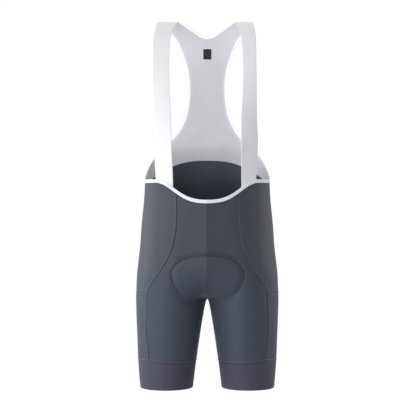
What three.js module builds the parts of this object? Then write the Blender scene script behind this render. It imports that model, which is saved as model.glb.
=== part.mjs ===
// Cycling bib shorts, filled out as they are worn, with nobody in them.
// Millimetres, +Z up, -Y the front of the garment, +X the wearer's left.
// The origin lies between the two shoulder folds, where a wearer's shoulders hold the straps.
// One figure, given as level sections from the shoulders to the leg hems, carries every piece:
// each piece is a wall of cloth between two seams of that figure, moved in from its outer face.
import * as THREE from "three";

// Heights, from the shoulder folds down.
const SHOULDER_ARCH = 60;
const CROTCH_Z = -692;
const THIGH_SEAM_SIDE_Z = -671;
const GRIPPER_SEAM_Z = -845;
const HEM_Z = -911;
const WAIST_SIDE_Z = -394.5;
const WAIST_DIP = 51.5;
const WAIST_DIP_HALF_WIDTH = 128;
const WAIST_DIP_BOWL = 0.37;
const BACK_SEAM_RISE = 59.4;
const BACK_SEAM_BOW = 2.4;
const SHOULDER_SEAM_ANGLE = 96.5;
const THIGH_SEAM_TURN = 0.35;
const BAND_RISE = { height: 5.5, place: -0.27, width: 0.18 };

// Cloth.
const SEAM_GAP = 0.3;
const CROTCH_EASE = { by: 0.6, from: 0.8 };
const SHORTS_WALL = 1.6;
const GRIPPER_WALL = 1.9;
const STRAP_WALL = 1.5;
const BIB_WALL = 1.3;
const BINDING_WALL = 2.4;
const BINDING_PROUD = 0.6;
const BINDING_WIDTH = 8.6;
const STRAP_TUCK = 8;
const STRAP_INSET = 2.5;
const STRAP_DIP_ROWS = 4;
const STRAP_LEVEL = 6;
const STRAP_PLACE = -0.35;

// The seat pad, and the label inside the back.
const PAD_GAP = 2.9;
const PAD_CROTCH_ROOM = 5.5;
const PAD_CROTCH_ALONG = 205;
const PAD_CROTCH_REACH = 95;
const PAD_EDGE_WALL = 2.5;
const PAD_MIDDLE_WALL = 8;
const PAD_CROWN = 3;
const PAD_END_TAPER = 45;
const LABEL = { half: 10, top: -58.5, bottom: -83.5, wall: 1, gap: 0.7 };

// How the legs part: the width of the soft turn between them, and how fast the gap opens below it.
const CROTCH_TURN = 5;
const GAP_SLOPE = 0.17;
const GAP_EASE = 0.00013;
const FRONT_FILL = 0.05;
const SEAT_FILL = 0.012;

// Level sections. side: half the width. core: half the flat middle. front, back: the faces.
// widest: where the section is widest, front to back.
const FIGURE = [
  { z: 0, side: 194, core: 122, front: -52, back: 56, widest: 0 },
  { z: -60, side: 190, core: 118, front: -75, back: 72, widest: 0 },
  { z: -110, side: 185, core: 110, front: -97, back: 88, widest: 0 },
  { z: -170, side: 178, core: 100, front: -109, back: 99, widest: -2 },
  { z: -230, side: 170, core: 86, front: -111, back: 102, widest: -4 },
  { z: -300, side: 160, core: 64, front: -106, back: 98, widest: -4 },
  { z: -345, side: 156, core: 48, front: -102, back: 94, widest: -4 },
  { z: -395, side: 155.5, core: 36, front: -100, back: 92, widest: -4 },
  { z: -445, side: 158, core: 40, front: -103, back: 97, widest: -3 },
  { z: -505, side: 164, core: 50, front: -107, back: 110, widest: -1 },
  { z: -565, side: 168.5, core: 66, front: -109, back: 121, widest: 2 },
  { z: -625, side: 175.5, core: 82, front: -106, back: 124, widest: 4 },
  { z: -655, side: 177, core: 88, front: -102, back: 119, widest: 3 },
  { z: -692, side: 178, core: 91, front: -97, back: 105, widest: 1 },
  { z: -730, side: 177, core: 94, front: -93, back: 92, widest: -1 },
  { z: -790, side: 174.5, core: 97, front: -87, back: 80, widest: -3 },
  { z: -850, side: 172, core: 100, front: -81, back: 71, widest: -4 },
  { z: -911, side: 167, core: 101.3, front: -76, back: 65, widest: -5 },
];

// The seam between a front panel and the panels beside it: half the distance across, at each height.
const SIDE_SEAM = [
  { z: -395, x: 77 },
  { z: -467, x: 72.5 },
  { z: -519, x: 74.7 },
  { z: -547, x: 79.5 },
  { z: -575, x: 89 },
  { z: -604, x: 104.3 },
  { z: -630, x: 122 },
  { z: -651, x: 136.5 },
  { z: -667, x: 144.5 },
  { z: -675, x: 146 },
  { z: -716, x: 147.5 },
  { z: -770, x: 149.5 },
  { z: -815, x: 143.5 },
  { z: -850, x: 142 },
];

// The edges of each strap, as seen from the front.
const STRAPS = {
  right: [
    { z: 0, inner: 71, outer: 124 },
    { z: -30, inner: 87, outer: 129 },
    { z: -60, inner: 91, outer: 131.5 },
    { z: -110, inner: 93, outer: 132 },
    { z: -200, inner: 92.5, outer: 130 },
    { z: -300, inner: 90, outer: 129 },
    { z: -410, inner: 84, outer: 128.5 },
  ],
  left: [
    { z: 0, inner: 67, outer: 112 },
    { z: -30, inner: 80, outer: 117.5 },
    { z: -60, inner: 84, outer: 119 },
    { z: -110, inner: 87.5, outer: 119.5 },
    { z: -200, inner: 87.5, outer: 120.5 },
    { z: -300, inner: 86.5, outer: 121.5 },
    { z: -410, inner: 84, outer: 122 },
  ],
};

// The back bib from its lower seam to the shoulder: each row runs from the middle, or from the neck
// edge above it, to the armhole edge. bow: how long the row stays level before it falls.
const BIB = [
  { innerX: 0, innerZ: -344, outerX: 156, outerZ: -403.4, bow: 3 },
  { innerX: 0, innerZ: -329, outerX: 156, outerZ: WAIST_SIDE_Z, bow: 3.4 },
  { innerX: 0, innerZ: -316, outerX: 150, outerZ: -368, bow: 2.6 },
  { innerX: 0, innerZ: -300, outerX: 135.7, outerZ: -340, bow: 2 },
  { innerX: 0, innerZ: -284, outerX: 113, outerZ: -313, bow: 2 },
  { innerX: 0, innerZ: -268, outerX: 90, outerZ: -291, bow: 1.8 },
  { innerX: 0, innerZ: -250, outerX: 71, outerZ: -268, bow: 1.6 },
  { innerX: 0, innerZ: -226, outerX: 56, outerZ: -238, bow: 1.4 },
  { innerX: 0, innerZ: -200, outerX: 48.3, outerZ: -206, bow: 1 },
  { innerX: 0, innerZ: -170, outerX: 44.5, outerZ: -171, bow: 1 },
  { innerX: 0, innerZ: -140, outerX: 45, outerZ: -141, bow: 1 },
  { innerX: 0, innerZ: -112, outerX: 48, outerZ: -114, bow: 1 },
  { innerX: 0, innerZ: LABEL.bottom, outerX: 55, outerZ: -87, bow: 1 },
  { innerX: 0, innerZ: LABEL.top, outerX: 64, outerZ: -62, bow: 1 },
  { innerX: 0, innerZ: -34.5, outerX: 73, outerZ: -42, bow: 1 },
  { innerX: 19, innerZ: -29.5, outerX: 84, outerZ: -28, bow: 1 },
  { innerX: 38, innerZ: -18.3, outerX: 97, outerZ: -15, bow: 1 },
  { innerX: 56, innerZ: -7.8, outerX: 110, outerZ: -6, bow: 1 },
  { innerX: 71, innerZ: -0.4, outerX: 124, outerZ: -0.4, bow: 1 },
];
const BIB_NECK_ROW = 14;
const BIB_SIDE_ROW = 1;

// Half the pad's width at each distance along its middle, from its front edge to its back edge.
const PAD = [
  { along: 0, half: 30 },
  { along: 8, half: 55 },
  { along: 22, half: 76 },
  { along: 45, half: 90 },
  { along: 75, half: 92 },
  { along: 105, half: 80 },
  { along: 135, half: 64 },
  { along: 165, half: 60 },
  { along: 200, half: 72 },
  { along: 235, half: 86 },
  { along: 265, half: 86 },
  { along: 290, half: 66 },
  { along: 300, half: 36 },
];
const PAD_FRONT_Z = -579;

// What shows of the pad through the front: an outline that is full above and tapers to the crotch,
// how far it stands out, and the height below which it fades.
const PAD_RELIEF = { widest: -628, half: 88, above: 50, below: 97, lift: 2.4, edge: 0.16 };
const PAD_RELIEF_FULL = { above: 2.2, below: 1.5 };
const PAD_RELIEF_FADE = { from: -694, to: -672 };

// Soft drag lines in the front, from the crotch to the thigh, as half-garment x and z.
const CREASES = [
  { x0: 8, z0: -697, x1: 88, z1: -664, width: 11, depth: 2.6 },
  { x0: 18, z0: -714, x1: 72, z1: -679, width: 8, depth: 1.3 },
];
const CREASE_START = { from: -0.15, to: 0.25 };
const CREASE_END = { from: 1.15, to: 0.6 };

// The front stands out to its middle seam as a low ridge, with nearly straight sides. It fades
// towards the crotch and above the waist.
const RIDGE = { lift: 14, half: 120, ease: 1.5, foot: -688, low: -606, high: -440, top: -400 };

// How finely slopes, rows and the side seam's crossing are worked out.
const SLOPE_STEP = 0.01;
const RING_SAMPLES = 48;
const SIDE_SEAM_SEARCH = { start: -0.4, share: 0.8, steps: 12 };

const mix = (a, b, t) => a + (b - a) * t;

function smooth(from, to, value) {
  const t = Math.min(1, Math.max(0, (value - from) / (to - from)));
  return t * t * (3 - 2 * t);
}

// A smooth curve through the rows of a table, read at any value of its key column.
function through(rows, key, column, value) {
  const way = Math.sign(rows[rows.length - 1][key] - rows[0][key]);
  const first = rows[0][key];
  const last = rows[rows.length - 1][key];
  const at = way > 0 ? Math.min(last, Math.max(first, value)) : Math.max(last, Math.min(first, value));
  let i = 0;
  while (i < rows.length - 2 && (rows[i + 1][key] - at) * way < 0) i += 1;
  const slope = (j) => {
    const a = rows[Math.max(0, j - 1)];
    const b = rows[Math.min(rows.length - 1, j + 1)];
    return (b[column] - a[column]) / (b[key] - a[key]);
  };
  const span = rows[i + 1][key] - rows[i][key];
  const t = (at - rows[i][key]) / span;
  const rise = rows[i + 1][column] - rows[i][column];
  const start = slope(i) * span;
  const end = slope(i + 1) * span;
  const bend = 3 * rise - 2 * start - end;
  const twist = start + end - 2 * rise;
  return rows[i][column] + t * start + t ** 2 * bend + t ** 3 * twist;
}

// The figure's section at one height. Over the shoulders its depth closes to nothing as an arch.
function section(z) {
  const row = {};
  for (const column of ["side", "core", "front", "back", "widest"]) {
    row[column] = through(FIGURE, "z", column, z);
  }
  const arch = z > -SHOULDER_ARCH ? Math.max(0, 1 - ((z + SHOULDER_ARCH) / SHOULDER_ARCH) ** 2) : 1;
  row.outer = row.side - row.core;
  row.frontSquared = (row.widest - row.front) ** 2 * arch;
  row.backSquared = (row.back - row.widest) ** 2 * arch;
  const rise = z - CROTCH_Z;
  if (rise < 0) {
    row.innerFront = row.core - (CROTCH_TURN - GAP_SLOPE * rise - GAP_EASE * rise * rise);
    row.innerBack = row.innerFront;
  } else {
    row.innerFront = row.core - CROTCH_TURN + GAP_SLOPE * rise + FRONT_FILL * rise * rise;
    row.innerBack = row.core - CROTCH_TURN + GAP_SLOPE * rise + SEAT_FILL * rise * rise;
  }
  return row;
}

// The point of the figure at a height and a place round it: -1 is the front seam or the inseam,
// 0 the side, and 1 the back seam or the inseam again.
function onFigure(place, z) {
  const s = section(z);
  const share = Math.abs(place);
  const inner = place < 0 ? s.innerFront : s.innerBack;
  const depth = Math.sqrt(place < 0 ? s.frontSquared : s.backSquared) * Math.sign(place);
  let across;
  let deep;
  if (share <= 0.5) {
    across = s.core + s.outer * Math.cos(share * Math.PI);
    deep = Math.sin(share * Math.PI);
  } else {
    const left = 2 - 2 * share;
    const turn = (1 - left * left) * Math.asin(Math.min(1, (s.core - CROTCH_TURN) / inner));
    across = s.core - inner * Math.sin(turn);
    deep = Math.cos(turn);
  }
  const x = Math.sqrt(Math.max(0, across * across - CROTCH_TURN * CROTCH_TURN));
  return new THREE.Vector3(x, s.widest + depth * deep, z);
}

// The place round the figure of a point seen at x from the front (face -1) or the back (face 1).
function placeOf(x, z, face) {
  const s = section(z);
  const across = Math.hypot(x, CROTCH_TURN);
  if (across >= s.core) return (face * Math.acos(Math.min(1, (across - s.core) / s.outer))) / Math.PI;
  const inner = face < 0 ? s.innerFront : s.innerBack;
  const whole = Math.asin(Math.min(1, (s.core - CROTCH_TURN) / inner));
  const turned = Math.asin(Math.min(1, (s.core - across) / inner)) / whole;
  return face * (1 - Math.sqrt(Math.max(0, 1 - turned)) / 2);
}

// Below 0 inside the figure and above 0 outside it.
function outside(x, y, z) {
  const s = section(z);
  const front = y < s.widest;
  const across = Math.hypot(x, CROTCH_TURN);
  const inner = front ? s.innerFront : s.innerBack;
  const share = across > s.core ? (across - s.core) / s.outer : (s.core - across) / inner;
  return (y - s.widest) ** 2 - (front ? s.frontSquared : s.backSquared) * (1 - share * share);
}

function slopeOf(p) {
  const h = SLOPE_STEP;
  return new THREE.Vector3(
    outside(p.x + h, p.y, p.z) - outside(p.x - h, p.y, p.z),
    outside(p.x, p.y + h, p.z) - outside(p.x, p.y - h, p.z),
    outside(p.x, p.y, p.z + h) - outside(p.x, p.y, p.z - h),
  ).divideScalar(2 * h);
}

// 0 at the middle of the pad's relief and 1 at its outline.
function padReach(p) {
  const rise = p.z - PAD_RELIEF.widest;
  const part = rise > 0 ? "above" : "below";
  const up = Math.abs(rise) / PAD_RELIEF[part];
  const across = Math.abs(p.x) / PAD_RELIEF.half;
  const full = PAD_RELIEF_FULL[part];
  return (across ** full + up ** full) ** (1 / full);
}

// How far the cloth stands off the figure: the ridge of the front seam, the pad's relief and the creases.
function lift(p) {
  const s = section(p.z);
  if (p.y > s.widest) return 0;
  const stands = smooth(RIDGE.foot, RIDGE.low, p.z) * smooth(RIDGE.top, RIDGE.high, p.z);
  const ridge = RIDGE.lift * Math.max(0, 1 - p.x / RIDGE.half) ** RIDGE.ease * stands;
  const fade = smooth(PAD_RELIEF_FADE.from, PAD_RELIEF_FADE.to, p.z);
  const pad = PAD_RELIEF.lift * (1 - smooth(1 - PAD_RELIEF.edge, 1, padReach(p))) * fade;
  let creases = 0;
  for (const c of CREASES) {
    const dx = c.x1 - c.x0;
    const dz = c.z1 - c.z0;
    const t = ((p.x - c.x0) * dx + (p.z - c.z0) * dz) / (dx * dx + dz * dz);
    const off = Math.hypot(p.x - c.x0 - t * dx, p.z - c.z0 - t * dz);
    const along = smooth(CREASE_START.from, CREASE_START.to, t) * smooth(CREASE_END.from, CREASE_END.to, t);
    creases += c.depth * Math.exp(-((off / c.width) ** 2)) * along;
  }
  return ridge + pad - creases;
}

// A point of the cloth's outer face, with the way out of it.
function clothAt(base) {
  const out = slopeOf(base).normalize();
  return { p: base.clone().addScaledVector(out, lift(base)), out };
}

// Evenly spaced points of one row, between two places, with the seam allowance taken off each end.
function row(heightAt, from, to, steps, trimFrom = SEAM_GAP / 2, trimTo = SEAM_GAP / 2) {
  const places = [];
  const run = [0];
  let before = null;
  for (let k = 0; k <= RING_SAMPLES; k += 1) {
    const place = mix(from, to, k / RING_SAMPLES);
    const p = onFigure(place, heightAt(place));
    if (before) run.push(run[k - 1] + p.distanceTo(before));
    places.push(place);
    before = p;
  }
  const whole = run[RING_SAMPLES];
  const points = [];
  for (let i = 0; i <= steps; i += 1) {
    const target = trimFrom + (whole - trimFrom - trimTo) * (i / steps);
    let k = 0;
    while (k < RING_SAMPLES - 1 && run[k + 1] < target) k += 1;
    const place = mix(places[k], places[k + 1], (target - run[k]) / (run[k + 1] - run[k]));
    points.push(clothAt(onFigure(place, heightAt(place))));
  }
  return points;
}

const mirrored = (q) => ({
  p: new THREE.Vector3(-q.p.x, q.p.y, q.p.z),
  out: new THREE.Vector3(-q.out.x, q.out.y, q.out.z),
});

// The mirror image of a half row, joined to it at the middle.
const bothSides = (half) => [...half.slice(1).reverse().map(mirrored), ...half];

// A closed wall: the rows' outer face, the same face moved in, and the cut edges between the two.
// Rows run down the piece and columns round it, so that the outer face looks out.
class Wall {
  constructor() {
    this.points = [];
    this.faces = [];
  }

  // off and thick are numbers or functions of row and column. From the row joinedFrom on, the last
  // column is the middle of the garment, where the other half of the piece carries on.
  // clear keeps the piece that far to one side of the middle plane.
  add(rows, { off = 0, thick, side = 1, loop = false, joinedFrom = Infinity, clear = -Infinity }) {
    const read = (value, i, j) => (typeof value === "function" ? value(i, j) : value);
    const columns = rows[0].length;
    const start = this.points.length / 3;
    for (const layer of [0, 1]) {
      rows.forEach((points, i) => {
        points.forEach(({ p, out }, j) => {
          const q = p.clone().addScaledVector(out, read(off, i, j) - layer * read(thick, i, j));
          this.points.push(Math.max(q.x, clear) * side, q.y, q.z);
        });
      });
    }
    const outer = (i, j) => start + i * columns + (j % columns);
    const inner = (i, j) => outer(i, j) + rows.length * columns;
    const face = (a, b, c) => this.faces.push(a, ...(side > 0 ? [b, c] : [c, b]));
    const edge = (i0, j0, i1, j1) => {
      face(outer(i1, j1), outer(i0, j0), inner(i0, j0));
      face(outer(i1, j1), inner(i0, j0), inner(i1, j1));
    };
    const lastColumn = loop ? columns : columns - 1;
    const lastRow = rows.length - 1;
    for (let i = 0; i < lastRow; i += 1) {
      for (let j = 0; j < lastColumn; j += 1) {
        face(outer(i, j), outer(i + 1, j), outer(i + 1, j + 1));
        face(outer(i, j), outer(i + 1, j + 1), outer(i, j + 1));
        face(inner(i, j), inner(i + 1, j + 1), inner(i + 1, j));
        face(inner(i, j), inner(i, j + 1), inner(i + 1, j + 1));
      }
      if (!loop) {
        edge(i, 0, i + 1, 0);
        if (i < joinedFrom) edge(i + 1, lastColumn, i, lastColumn);
      }
    }
    for (let j = 0; j < lastColumn; j += 1) {
      edge(lastRow, j, lastRow, j + 1);
      edge(0, j + 1, 0, j);
    }
    return this;
  }

  mesh(name, material) {
    const geometry = new THREE.BufferGeometry();
    geometry.setAttribute("position", new THREE.Float32BufferAttribute(this.points, 3));
    geometry.setIndex(this.faces);
    geometry.computeVertexNormals();
    const made = new THREE.Mesh(geometry, material);
    made.name = name;
    return made;
  }
}

// Edges of the garment that several pieces share.
function waistEdge(place) {
  const x = onFigure(Math.min(0, place), WAIST_SIDE_Z - WAIST_DIP / 2).x;
  const share = Math.min(1, x / WAIST_DIP_HALF_WIDTH);
  const bowl = mix(share, share ** 2, WAIST_DIP_BOWL);
  return WAIST_SIDE_Z - WAIST_DIP * (0.5 + 0.5 * Math.cos(Math.PI * bowl));
}

function backSeam(place) {
  const level = WAIST_SIDE_Z + BACK_SEAM_RISE / 2;
  const share = onFigure(place, level).x / onFigure(0, level).x;
  return WAIST_SIDE_Z - BINDING_WIDTH - SEAM_GAP + BACK_SEAM_RISE * (1 - share ** BACK_SEAM_BOW);
}

function shortsTop(place) {
  return (place < 0 ? waistEdge(place) - BINDING_WIDTH - SEAM_GAP : backSeam(place)) - SEAM_GAP / 2;
}

const thighSeam = (place) => mix(THIGH_SEAM_SIDE_Z, CROTCH_Z, smooth(THIGH_SEAM_TURN, 1, Math.abs(place)));

// Where the side seam crosses a row.
function sideSeamPlace(heightAt) {
  let place = SIDE_SEAM_SEARCH.start;
  for (let k = 0; k < SIDE_SEAM_SEARCH.steps; k += 1) {
    const z = heightAt(place);
    place = mix(place, placeOf(through(SIDE_SEAM, "z", "x", z), z, -1), SIDE_SEAM_SEARCH.share);
  }
  return place;
}

// The heights of a panel's rows between its upper and lower edges, closer together lower down.
function rowsBetween(upper, lower, steps, crowd = 1) {
  const rows = [];
  for (let i = 0; i <= steps; i += 1) {
    const t = 1 - (1 - i / steps) ** crowd;
    rows.push((place) => mix(upper(place), lower(place), t));
  }
  return rows;
}

const lowered = (edge, by) => (place) => edge(place) - by;

const material = (color, roughness) => new THREE.MeshStandardMaterial({ color, roughness, metalness: 0 });
const GREY_KNIT = material(0x4a4f58, 0.62);
const GREY_BAND = material(0x46475a, 0.66);
const WHITE_ELASTIC = material(0xeeeef2, 0.7);
const WHITE_MESH = material(0xd8d8dd, 0.78);
const WHITE_BINDING = material(0xe6e8f2, 0.6);
const PAD_FOAM = material(0x3a3f47, 0.85);
const LABEL_INK = material(0x17181b, 0.5);

const garment = new THREE.Group();
const SIDES = [
  { name: "left", side: 1 },
  { name: "right", side: -1 },
];

// Front panels: waist binding to leg band, from the front seam and the inseam to the side seam.
const BODY_STEPS = 13;
const LEG_STEPS = 8;
const LOWER_CROWD = 1.5;
const FRONT_COLUMNS = 12;
const SIDE_COLUMNS = 5;
const BACK_COLUMNS = 14;

// The leg bands' seam rises a little towards the side seam.
function legEnd(place) {
  const rise = BAND_RISE.height * Math.exp(-(((place - BAND_RISE.place) / BAND_RISE.width) ** 2));
  return GRIPPER_SEAM_Z + rise + SEAM_GAP / 2;
}

const bodyRows = rowsBetween(shortsTop, thighSeam, BODY_STEPS, LOWER_CROWD);
const legRows = rowsBetween(thighSeam, legEnd, LEG_STEPS).slice(1);
const frontRows = [...bodyRows, ...legRows].map((heightAt) =>
  row(heightAt, -1, sideSeamPlace(heightAt), FRONT_COLUMNS),
);

// Hip and thigh panels share the same columns, so that the seam under the seat matches.
const behindSeam = (heightAt) => [
  ...row(heightAt, sideSeamPlace(heightAt), 0, SIDE_COLUMNS, SEAM_GAP / 2, 0),
  ...row(heightAt, 0, 1, BACK_COLUMNS, 0, SEAM_GAP / 2).slice(1),
];
const overSeat = lowered(thighSeam, -SEAM_GAP / 2);
const hipRows = rowsBetween(shortsTop, overSeat, BODY_STEPS, LOWER_CROWD).map(behindSeam);

function underSeat(place) {
  return thighSeam(place) - SEAM_GAP / 2 - CROTCH_EASE.by * smooth(CROTCH_EASE.from, 1, place);
}

const thighRows = rowsBetween(underSeat, legEnd, LEG_STEPS).map(behindSeam);

// Leg bands: a tube at each hem.
const BAND_STEPS = 3;
const BAND_COLUMNS = 36;
const bandRows = rowsBetween(lowered(legEnd, SEAM_GAP), () => HEM_Z, BAND_STEPS).map((heightAt) =>
  row(heightAt, -1, 1, BAND_COLUMNS, 0, 0).slice(0, -1),
);

for (const { name, side } of SIDES) {
  const cut = { thick: SHORTS_WALL, side, clear: SEAM_GAP / 2 };
  garment.add(new Wall().add(frontRows, cut).mesh(`front_panel_${name}`, GREY_KNIT));
  garment.add(new Wall().add(hipRows, cut).mesh(`hip_panel_${name}`, GREY_KNIT));
  garment.add(new Wall().add(thighRows, cut).mesh(`thigh_panel_${name}`, GREY_KNIT));
  const band = new Wall().add(bandRows, { thick: GRIPPER_WALL, side, loop: true });
  garment.add(band.mesh(`leg_band_${name}`, GREY_BAND));
}

// Waist binding: one strip across the front, from side to side.
const BINDING_STEPS = 2;
const BINDING_COLUMNS = 22;
const bindingFoot = lowered(waistEdge, BINDING_WIDTH);
const bindingRows = rowsBetween(waistEdge, bindingFoot, BINDING_STEPS).map((heightAt) =>
  bothSides(row(heightAt, -1, 0, BINDING_COLUMNS, 0, SEAM_GAP)),
);
const binding = new Wall().add(bindingRows, { off: BINDING_PROUD, thick: BINDING_WALL });
garment.add(binding.mesh("waist_binding", WHITE_BINDING));

// Straps: from the seam just behind the shoulder, over it, and down inside the binding.
const ARCH_ANGLES = [SHOULDER_SEAM_ANGLE, 90, 80, 69, 57, 44, 30, 15, 0];
const CHEST_STEPS = 12;
const STRAP_COLUMNS = 4;
const archHeight = (angle) => SHOULDER_ARCH * (Math.sin((angle * Math.PI) / 180) - 1);

function strapRow(edges, heightAt, z, face) {
  const inner = placeOf(through(edges, "z", "inner", z), z, face);
  const outer = placeOf(through(edges, "z", "outer", z), z, face);
  return row(heightAt, inner, outer, STRAP_COLUMNS, 0, 0);
}

function strapRows(edges) {
  const arch = ARCH_ANGLES.map((angle) => {
    const z = archHeight(angle);
    return strapRow(edges, () => z, z, angle > 90 ? 1 : -1);
  });
  const chest = rowsBetween(() => -SHOULDER_ARCH, lowered(waistEdge, -STRAP_LEVEL), CHEST_STEPS).slice(1);
  const ends = [...chest, lowered(waistEdge, STRAP_TUCK)];
  return [...arch, ...ends.map((heightAt) => strapRow(edges, heightAt, heightAt(STRAP_PLACE), -1))];
}

for (const { name, side } of SIDES) {
  const rows = strapRows(STRAPS[name]);
  const level = rows.length - 2;
  const dip = (i) => -STRAP_INSET * smooth(level - STRAP_DIP_ROWS, level, i);
  const strap = new Wall().add(rows, { off: dip, thick: STRAP_WALL, side });
  garment.add(strap.mesh(`strap_${name}`, WHITE_ELASTIC));
}

// Back bib: one panel from the shorts' back seam, parting at the neck into two arms. Its first two
// rows start at the side, beside the binding's end.
const shoulderGap = ((SEAM_GAP / FIGURE[0].back) * 180) / Math.PI;
const BIB_TOP_Z = archHeight(SHOULDER_SEAM_ANGLE + shoulderGap);

function bibRow(r, index, edges) {
  const shoulder = smooth(BIB_NECK_ROW, BIB.length - 1, index);
  const top = BIB[BIB.length - 1];
  const innerX = r.innerX + shoulder * (edges[0].inner - top.innerX);
  const outerX = r.outerX + shoulder * (edges[0].outer - top.outerX);
  const innerZ = r === top ? BIB_TOP_Z : r.innerZ;
  const outerZ = r === top ? BIB_TOP_Z : r.outerZ;
  const from = index === 0 ? 0 : placeOf(outerX, outerZ, 1);
  const to = placeOf(innerX, innerZ, 1);
  const heightAt = (place) => {
    if (index === 0) return backSeam(place) + SEAM_GAP / 2;
    const t = Math.min(1, Math.max(0, (to - place) / (to - from)));
    return mix(innerZ, outerZ, t ** r.bow);
  };
  return row(heightAt, from, to, BACK_COLUMNS, index <= BIB_SIDE_ROW ? SEAM_GAP : 0, 0);
}

const bib = new Wall();
for (const { name, side } of SIDES) {
  const rows = BIB.map((r, index) => bibRow(r, index, STRAPS[name])).reverse();
  bib.add(rows, { thick: BIB_WALL, side, joinedFrom: BIB.length - 1 - BIB_NECK_ROW });
}
garment.add(bib.mesh("back_bib", WHITE_MESH));

// Neck label: sewn inside the back bib, a little below the neck.
const LABEL_COLUMNS = 2;
const labelRows = [LABEL.top, LABEL.bottom].map((z) => {
  const half = row(() => z, 1, placeOf(LABEL.half, z, 1), LABEL_COLUMNS, 0, 0);
  return bothSides(half).reverse();
});
const label = new Wall().add(labelRows, { off: -BIB_WALL - LABEL.gap, thick: LABEL.wall });
garment.add(label.mesh("neck_label", LABEL_INK));

// Seat pad: laid out from its middle line, which runs down the front, under the crotch and up the back.
const WALK_STEP = 2;
const SETTLE_STEPS = 4;
const PAD_COLUMNS = 6;
const PAD_STEPS = 18;

function settle(p) {
  for (let k = 0; k < SETTLE_STEPS; k += 1) {
    const slope = slopeOf(p);
    p.addScaledVector(slope, -outside(p.x, p.y, p.z) / slope.lengthSq());
  }
  return p;
}

// A walk over the figure's face, straight ahead, and the heading at its end.
function walk(from, heading, length) {
  const p = from.clone();
  const ahead = heading.clone();
  const steps = Math.ceil(length / WALK_STEP);
  for (let k = 0; k < steps; k += 1) {
    const out = slopeOf(p).normalize();
    ahead.addScaledVector(out, -ahead.dot(out)).normalize();
    settle(p.addScaledVector(ahead, length / steps));
  }
  return { p, ahead };
}

const padLength = PAD[PAD.length - 1].along;
const padRows = [];
const padAlong = [];
let middle = { p: settle(onFigure(-1, PAD_FRONT_Z)), ahead: new THREE.Vector3(0, 0, -1) };
for (let i = 0; i <= PAD_STEPS; i += 1) {
  const along = (padLength * (1 - Math.cos((Math.PI * i) / PAD_STEPS))) / 2;
  if (i > 0) middle = walk(middle.p, middle.ahead, along - padAlong[i - 1]);
  middle.p.x = 0;
  const half = through(PAD, "along", "half", along);
  const points = [];
  for (let j = 0; j <= PAD_COLUMNS; j += 1) {
    points.push(clothAt(walk(middle.p, new THREE.Vector3(1, 0, 0), (half * j) / PAD_COLUMNS).p));
  }
  padAlong.push(along);
  padRows.push(bothSides(points));
}

function padThickness(i, j) {
  const across = Math.abs(j - PAD_COLUMNS) / PAD_COLUMNS;
  const end = smooth(0, PAD_END_TAPER, Math.min(padAlong[i], padLength - padAlong[i]));
  return mix(PAD_EDGE_WALL, PAD_MIDDLE_WALL, (1 - across ** PAD_CROWN) * end);
}

// The pad rests on the cloth, and bridges the tight turn between the legs.
function padOff(i) {
  const turn = (padAlong[i] - PAD_CROTCH_ALONG) / PAD_CROTCH_REACH;
  return -SHORTS_WALL - PAD_GAP - PAD_CROTCH_ROOM * Math.exp(-turn * turn);
}

const pad = new Wall().add(padRows, { off: padOff, thick: padThickness });
garment.add(pad.mesh("seat_pad", PAD_FOAM));

export default garment;
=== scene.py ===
import math

import bmesh
import bpy
import numpy as np
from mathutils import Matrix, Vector


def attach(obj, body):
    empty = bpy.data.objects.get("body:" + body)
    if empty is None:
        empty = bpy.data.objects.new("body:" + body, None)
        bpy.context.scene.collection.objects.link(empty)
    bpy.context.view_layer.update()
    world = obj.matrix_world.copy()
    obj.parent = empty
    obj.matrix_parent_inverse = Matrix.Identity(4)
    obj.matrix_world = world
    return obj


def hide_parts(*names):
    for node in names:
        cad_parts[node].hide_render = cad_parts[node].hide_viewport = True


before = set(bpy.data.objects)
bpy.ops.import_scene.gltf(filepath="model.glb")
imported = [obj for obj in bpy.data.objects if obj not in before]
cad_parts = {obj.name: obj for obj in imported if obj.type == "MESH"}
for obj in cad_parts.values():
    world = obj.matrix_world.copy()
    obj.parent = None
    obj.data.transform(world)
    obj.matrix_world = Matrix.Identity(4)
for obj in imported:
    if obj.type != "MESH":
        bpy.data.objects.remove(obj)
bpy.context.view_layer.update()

# The photographer's set, all white. A long lens looks level at the middle of the garment from 3.1 m.
# A key light and a stronger low one stand in front at the left of the picture, with weak ones in
# front, above and behind, and a rim light at each side.
CAMERA = {"x": 0.0018, "back": 3.1, "height": -0.465, "frame": 1.04, "sensor": 36}
scene = bpy.context.scene
lens = bpy.data.cameras.new("camera")
lens.sensor_width = CAMERA["sensor"]
lens.lens = CAMERA["sensor"] * CAMERA["back"] / CAMERA["frame"]
camera = bpy.data.objects.new("camera", lens)
camera.location = (CAMERA["x"], -CAMERA["back"], CAMERA["height"])
camera.rotation_euler = (math.pi / 2, 0, 0)
scene.collection.objects.link(camera)
scene.camera = camera
scene.view_settings.view_transform = "Standard"

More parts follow.
